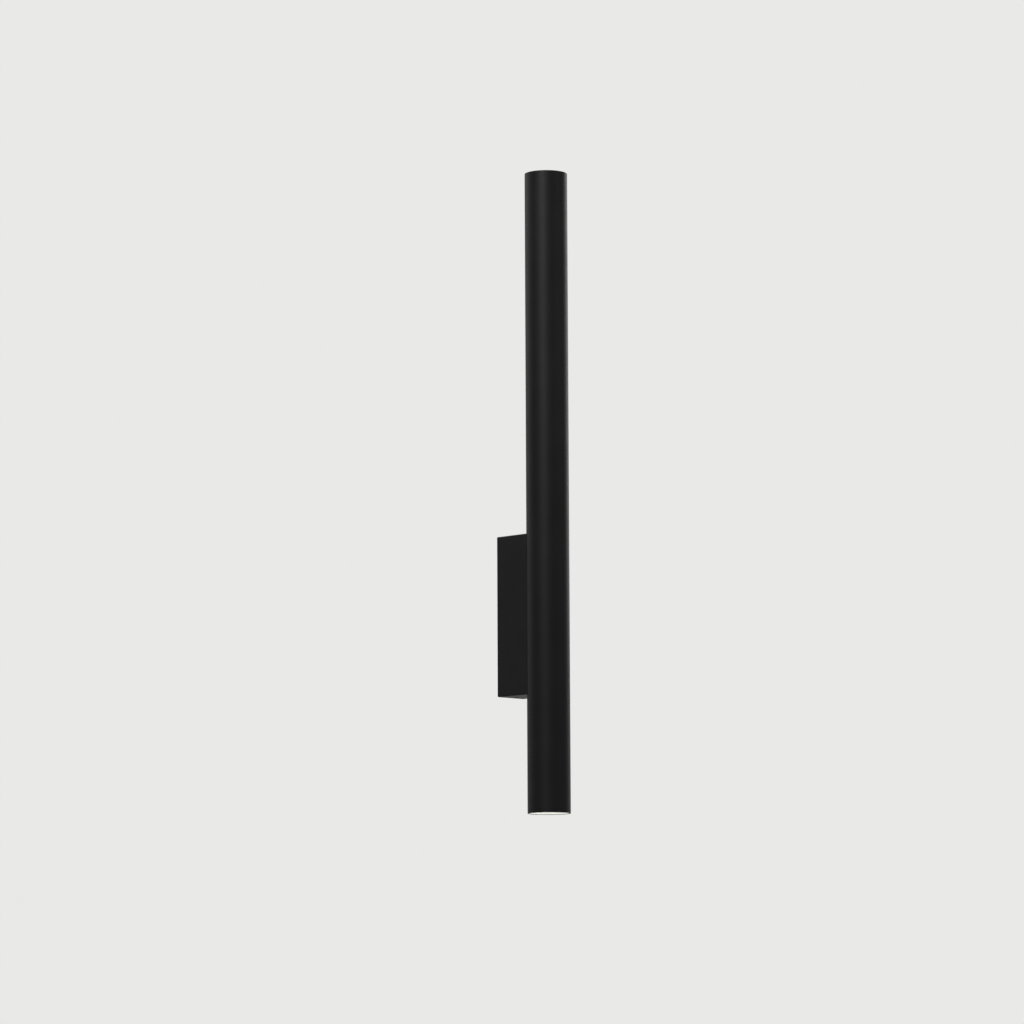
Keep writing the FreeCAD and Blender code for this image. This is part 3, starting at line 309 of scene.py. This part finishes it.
def spun_white_enamel():
    """Spun aluminium stoved with white enamel.

    A clean white satin skin over the faint rings that spinning leaves. Their height rises
    over one step along the axis and falls over the next, so that they lie two steps apart.
    """
    values = {"IOR": 1.5, "Coat Weight": 0.25, "Coat Roughness": 0.2}
    enamel = Finish("spun_white_enamel", values)
    clouds = enamel.noise(10)
    enamel.colour(clouds, "#e4e4e0", "#ecece9")
    enamel.roughness(clouds, 0.34, 0.42)
    height = add(enamel.tree, "SeparateXYZ", {0: enamel.place}).outputs["Z"]
    steps = maths(enamel.tree, "MULTIPLY", height, per_metre(SPINNING_STEP_MM))
    enamel.relief(maths(enamel.tree, "PINGPONG", steps, 1.0), 0.008)
    return enamel.material


GLOW_BETWEEN = 0.25  # emission strength between the lenslets
GLOW_MIDDLE = 5.0  # and over the middle of each


def lit_polycarbonate():
    """Frosted polycarbonate lens with the lamp lit behind it.

    The light is a neutral white, brightest over the middle of each lenslet.
    """
    values = {
        "IOR": 1.58,
        "Emission Color": linear("#fffefb"),
        "Subsurface Weight": 0.3,
        "Subsurface Scale": 0.001,
    }
    lens = Finish("lit_polycarbonate", values)
    frost = lens.noise(0.6)
    lens.colour(frost, "#eeeeea", "#f4f3ef")
    lens.roughness(frost, 0.4, 0.52)
    glow = add(lens.tree, "Attribute", {}, attribute_name="glow").outputs["Fac"]
    strength = lens.spread(glow, GLOW_BETWEEN, GLOW_MIDDLE, start=0, end=1)
    lens.link(strength, "Emission Strength")
    lens.relief(frost, 0.01)
    return lens.material


# ---------------------------------------------------------------- turned surfaces


def in_scene(name, data):
    """A new object in the scene that shows a mesh, a lamp or a camera."""
    made = bpy.data.objects.new(name, data)
    bpy.context.scene.collection.objects.link(made)
    return made


def polar_grid(profile, segments):
    """The radius and the angle at each row of a profile and each segment around it.

    The radius is the row's own, and the angle of segment j is 2 pi j / segments.
    """
    angles = np.arange(segments) * (2 * math.pi / segments)
    return np.meshgrid(profile[:, 0], angles, indexing="ij")


def turned(name, profile, segments, relief=0.0, glow=None):
    """A closed surface of revolution about the tube's axis.

    Row i of the profile, a radius r and a height h, and the angle a = 2 pi j / segments give
    the point (r cos a, axis + r sin a, h + relief). A row of radius 0 is one pole, and a
    profile without poles closes on itself. The rows run anticlockwise, with the radius to
    the right and the height up, so that the faces point outwards. relief and glow are grids
    with a value for each row and angle; glow is kept as an attribute of that name.
    """
    radius, angle = polar_grid(profile, segments)
    x, y = radius * np.cos(angle), TUBE_AXIS_Y + radius * np.sin(angle)
    z = profile[:, 1:2] + np.zeros_like(radius) + relief
    points = np.stack([x, y, z], axis=-1)

    whole = profile[:, 0] > 0
    sizes = np.where(whole, segments, 1)
    column = np.arange(segments)[None, :] * whole[:, None]
    index = (np.cumsum(sizes) - sizes)[:, None] + column
    kept = whole[:, None] | (np.arange(segments)[None, :] == 0)
    if whole[0]:
        index = np.vstack([index, index[:1]])
        whole = np.append(whole, whole[0])
    here, there = index[:-1], index[1:]
    here_next, there_next = np.roll(here, -1, axis=1), np.roll(there, -1, axis=1)
    bands = np.stack([here, here_next, there_next, there], axis=-1)
    full = bands[whole[:-1] & whole[1:]].reshape(-1, 4)
    opening = bands[~whole[:-1]][..., [0, 2, 3]].reshape(-1, 3)
    closing = bands[~whole[1:]][..., [0, 1, 2]].reshape(-1, 3)

    mesh = bpy.data.meshes.new(name)
    mesh.from_pydata(points[kept], [], [*full.tolist(), *opening.tolist(), *closing.tolist()])
    mesh.shade_smooth()
    if glow is not None:
        values = glow[kept].astype(np.float32)
        mesh.attributes.new("glow", "FLOAT", "POINT").data.foreach_set("value", values)
    return in_scene(name, mesh)


ARC_POINTS = 9


def corner_arc(centre, radius, start, end):
    """Points of an arc: centre plus radius times (cos t, sin t), t from start to end degrees."""
    turn = np.radians(np.linspace(start, end, ARC_POINTS))
    return np.stack([centre[0] + radius * np.cos(turn), centre[1] + radius * np.sin(turn)], axis=-1)


def in_end(node, profile):
    """A profile of (radius, depth from the node's mouth side) as (radius, height).

    In the lower end the depth runs upwards, and in the upper end downwards, and there the
    rows are walked backwards so that they still run anticlockwise.
    """
    low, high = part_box(node)
    if low.z < 0:
        return profile + (0, low.z)
    return profile[::-1] * (1, -1) + (0, high.z)


SHEET = 0.5 * MM
EDGE_SHEET = 0.26 * MM  # at the mouth, where the sleeve is ironed thin
EDGE_TAPER = 3.2 * MM  # over this depth it grows back to the full sheet
LIP_BEND = 0.9 * MM  # outer radius of the bend between sleeve and lip
LIP_BORE = 15.5 * MM
RING_SEGMENTS = 160


def trim_ring(end):
    """The spun sleeve in a mouth: an edge ironed thin, a wall and a bent-in lip.

    The profile is walked round the edge and up the outside, round the bend, in along the
    lip, round its edge and back down the inside to the edge at the mouth.
    """
    node = f"{end}_trim_ring"
    low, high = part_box(node)
    outer = (high.x - low.x) / 2
    depth = high.z - low.z
    inner_bend = LIP_BEND - SHEET
    edge = SHEET / 2
    profile = np.vstack(
        [
            corner_arc((outer - EDGE_SHEET / 2, EDGE_SHEET / 2), EDGE_SHEET / 2, 180, 360),
            [[outer, depth / 2]],
            corner_arc((outer - LIP_BEND, depth - LIP_BEND), LIP_BEND, 0, 90),
            corner_arc((LIP_BORE + edge, depth - edge), edge, 90, 270),
            corner_arc((outer - LIP_BEND, depth - LIP_BEND), inner_bend, 90, 0),
            [[outer - SHEET, EDGE_TAPER]],
        ]
    )
    ring = turned(f"{end}_spun_ring", in_end(node, profile), RING_SEGMENTS)
    ring.data.materials.append(FINISHES["white_enamel"])
    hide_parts(node)
    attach(ring, f"{end}_ring")


LENSLET_PITCH = 2.0 * MM
LENSLET_RISE = 0.28 * MM
LENS_DOME = 0.6 * MM
LENS_CHAMFER = 0.15 * MM
LENS_ROWS = 97  # over the front, from the middle to the chamfer
LENS_SEGMENTS = 360


def lenslet_heights(radius, angle):
    """Height from 0 to 1 of a lens front covered with rings of round lenslets.

    Ring k lies k pitches from the middle and holds 6 k lenslets, and the middle holds one.
    With u and v the distances from a lenslet's middle along and across the ring, in
    pitches, the height is 1 - 2 (u^2 + v^2), held at 0 between the lenslets.
    """
    rings = np.round(radius / LENSLET_PITCH)
    across = radius / LENSLET_PITCH - rings
    count = np.maximum(rings * 6, 1)
    cell = angle * count / (2 * math.pi)
    along = np.where(rings > 0, (cell - np.round(cell)) * (2 * math.pi * rings / count), 0)
    return np.clip(1 - 2 * (across**2 + along**2), 0, 1)


def lens(end):
    """The lamp's front: a shallow dome of lenslets over a flat back with a chamfered rim.

    At the radius r the dome lies dome * (r / R)^2 deeper than in its middle, and the
    lenslets rise from it towards the mouth.
    """
    node = f"{end}_lamp_lens"
    low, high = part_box(node)
    rim = (high.x - low.x) / 2
    thickness = high.z - low.z
    front_radius = np.linspace(rim - LENS_CHAMFER, 0, LENS_ROWS)
    front = np.stack([front_radius, LENS_DOME * (front_radius / rim) ** 2 + LENSLET_RISE], axis=-1)
    side = [[rim, LENS_DOME + LENSLET_RISE + LENS_CHAMFER], [rim, thickness - LENS_CHAMFER]]
    back = [[rim - LENS_CHAMFER, thickness], [0, thickness]]
    profile = np.vstack([front[::-1], side, back])
    inward = 1 if low.z < 0 else -1
    on_front = (np.arange(len(profile)) < LENS_ROWS)[::inward, None]
    rows = in_end(node, profile)
    bumps = lenslet_heights(*polar_grid(rows, LENS_SEGMENTS)) * on_front
    relief = -inward * LENSLET_RISE * bumps
    made = turned(f"{end}_lens_optic", rows, LENS_SEGMENTS, relief, bumps)
    made.data.materials.append(FINISHES["lamp_lens"])
    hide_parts(node)
    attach(made, f"{end}_lamp")


# ---------------------------------------------------------------- the part's pieces

FINISHES = {
    "black_powder_coat": black_powder_coat(),
    "zinc_plated_steel": zinc_plated_steel(),
    "black_steel": black_oxide_steel(),
    "black_plastic": black_polyamide(),
    "block_plastic": natural_polyamide(),
    "brass": turned_brass(),
    "tinned_copper": tinned_copper(),
    "brown_lead": silicone_lead("brown_silicone", "#4e2c1c", "#5f3826"),
    "blue_lead": silicone_lead("blue_silicone", "#24538f", "#2f62a3"),
    "green_lead": earth_silicone(),
    "steatite": fired_steatite(),
    "lamp_shell": white_thermoplastic(),
    "lamp_lens": lit_polycarbonate(),
    "lamp_board": solder_mask_board(),
    "nickel_plate": nickel_plate(),
    "white_enamel": spun_white_enamel(),
}

for subpart in frame["record"]["subparts"]:
    for material_slot in frame["nodes"][subpart["node"]].material_slots:
        material_slot.material = FINISHES[subpart["material_slot"]]

for tube_end in ("lower", "upper"):
    trim_ring(tube_end)
    lens(tube_end)


# ---------------------------------------------------------------- studio


WORLD_SEEN = "#e9e9e8"
WORLD_LIGHT = "#9a9a9a"
FLOOR_SEEN = "#eeeeed"
FLOOR_PLAINNESS = 0.92  # the share of the floor's look that is this plain colour
FLOOR_Z = -3.0
FLOOR_REACH = 14.0


def background_share(tree):
    """1 for a ray from the camera, a gloss or a glass, which sees the plain background."""
    rays = add(tree, "LightPath", {}).outputs
    seen = maths(tree, "MAXIMUM", rays["Is Camera Ray"], rays["Is Glossy Ray"])
    return maths(tree, "MAXIMUM", seen, rays["Is Transmission Ray"])


def studio_floor():
    """A wide floor far below, painted pale and shown mostly as the plain background."""
    mesh = bpy.data.meshes.new("studio_floor")
    signs = ((-1, -1), (1, -1), (1, 1), (-1, 1))
    corners = [(x * FLOOR_REACH, y * FLOOR_REACH, FLOOR_Z) for x, y in signs]
    mesh.from_pydata(corners, [], [(0, 1, 2, 3)])
    surface = in_scene("studio_floor", mesh)
    paint = Finish("studio_floor", {"Specular IOR Level": 0.2})
    paint.link(paint.tones(paint.noise(900), "#d4d4d2", "#d8d8d6"), "Base Color")
    paint.roughness(paint.noise(300), 0.78, 0.82)
    share = maths(paint.tree, "MULTIPLY", background_share(paint.tree), FLOOR_PLAINNESS)
    plain = add(paint.tree, "Emission", {"Color": linear(FLOOR_SEEN)}).outputs[0]
    shaders = {0: share, 1: paint.shader.outputs["BSDF"], 2: plain}
    shown = add(paint.tree, "MixShader", shaders).outputs[0]
    paint.tree.links.new(shown, paint.output.inputs["Surface"])
    mesh.materials.append(paint.material)


def studio_world():
    """Pale where the camera, a gloss or glass sees it, and a weaker even light elsewhere."""
    world = bpy.data.worlds.new("studio_world")
    world.use_nodes = True
    tree = world.node_tree
    tree.nodes.clear()
    colour = mixed(tree, background_share(tree), linear(WORLD_LIGHT), linear(WORLD_SEEN))
    light = add(tree, "Background", {"Color": colour})
    add(tree, "OutputWorld", {"Surface": light.outputs[0]})
    bpy.context.scene.world = world


def bearing(azimuth, elevation):
    """The unit vector towards an azimuth a and an elevation e, measured as for the views.

    It is (sin a cos e, -cos a cos e, sin e), with both angles in degrees.
    """
    turn, rise = math.radians(azimuth), math.radians(elevation)
    level = math.cos(rise)
    return np.array((math.sin(turn) * level, -math.cos(turn) * level, math.sin(rise)))


def facing(direction, roll=0.0):
    """A rotation whose -Z axis points along the direction, with +Y as near up as it can be.

    Right is direction x up, and both right and up are then turned about the direction by
    roll degrees.
    """
    forward = direction / np.linalg.norm(direction)
    right = np.cross(forward, (0.0, 0.0, 1.0))
    right /= np.linalg.norm(right)
    up = np.cross(right, forward)
    cos, sin = math.cos(math.radians(roll)), math.sin(math.radians(roll))
    return np.stack([cos * right + sin * up, cos * up - sin * right, -forward], axis=1)


def placed(name, data, location, axes):
    """Stands a lamp or the camera at a location with its axes given as columns."""
    matrix = np.eye(4)
    matrix[:3, :3] = axes
    matrix[:3, 3] = location
    made = in_scene(name, data)
    made.matrix_world = Matrix(matrix.tolist())
    return made


AIM = np.array((0.0, -0.05, 0.1))


def softbox(name, azimuth, elevation, distance, width, height, power):
    """A soft rectangular lamp that shines on AIM from a bearing and a distance.

    Angles are in degrees, lengths in metres and the power in watts.
    """
    lamp = bpy.data.lights.new(name, "AREA")
    lamp.shape = "RECTANGLE"
    lamp.size = width
    lamp.size_y = height
    lamp.energy = power
    outward = bearing(azimuth, elevation)
    placed(name, lamp, AIM + outward * distance, facing(-outward))


studio_floor()
studio_world()
softbox("key_softbox", -66, 34, 1.9, 0.6, 1.2, 64)
softbox("fill_softbox", 20, 25, 3.2, 1.6, 1.6, 26)
softbox("side_softbox", 98, 22, 2.3, 0.7, 1.5, 20)
softbox("back_softbox", 192, 24, 2.8, 1.0, 1.4, 14)

# The photograph's viewing angle: from the left and a little below, through a long lens.
CAMERA_AZIMUTH, CAMERA_ELEVATION, CAMERA_ROLL = -44.53, -7.2, -0.25
CAMERA_PLACE = (-3.0132, -3.0658, -0.443)
SENSOR_MM, FOCAL_MM = 36, 162.44
NEAREST, FURTHEST = 0.05, 100

camera = bpy.data.cameras.new("camera")
camera.sensor_width, camera.lens = SENSOR_MM, FOCAL_MM
camera.clip_start, camera.clip_end = NEAREST, FURTHEST
camera_axes = facing(-bearing(CAMERA_AZIMUTH, CAMERA_ELEVATION), CAMERA_ROLL)
bpy.context.scene.camera = placed("camera", camera, CAMERA_PLACE, camera_axes)
bpy.context.scene.view_settings.view_transform = "Standard"
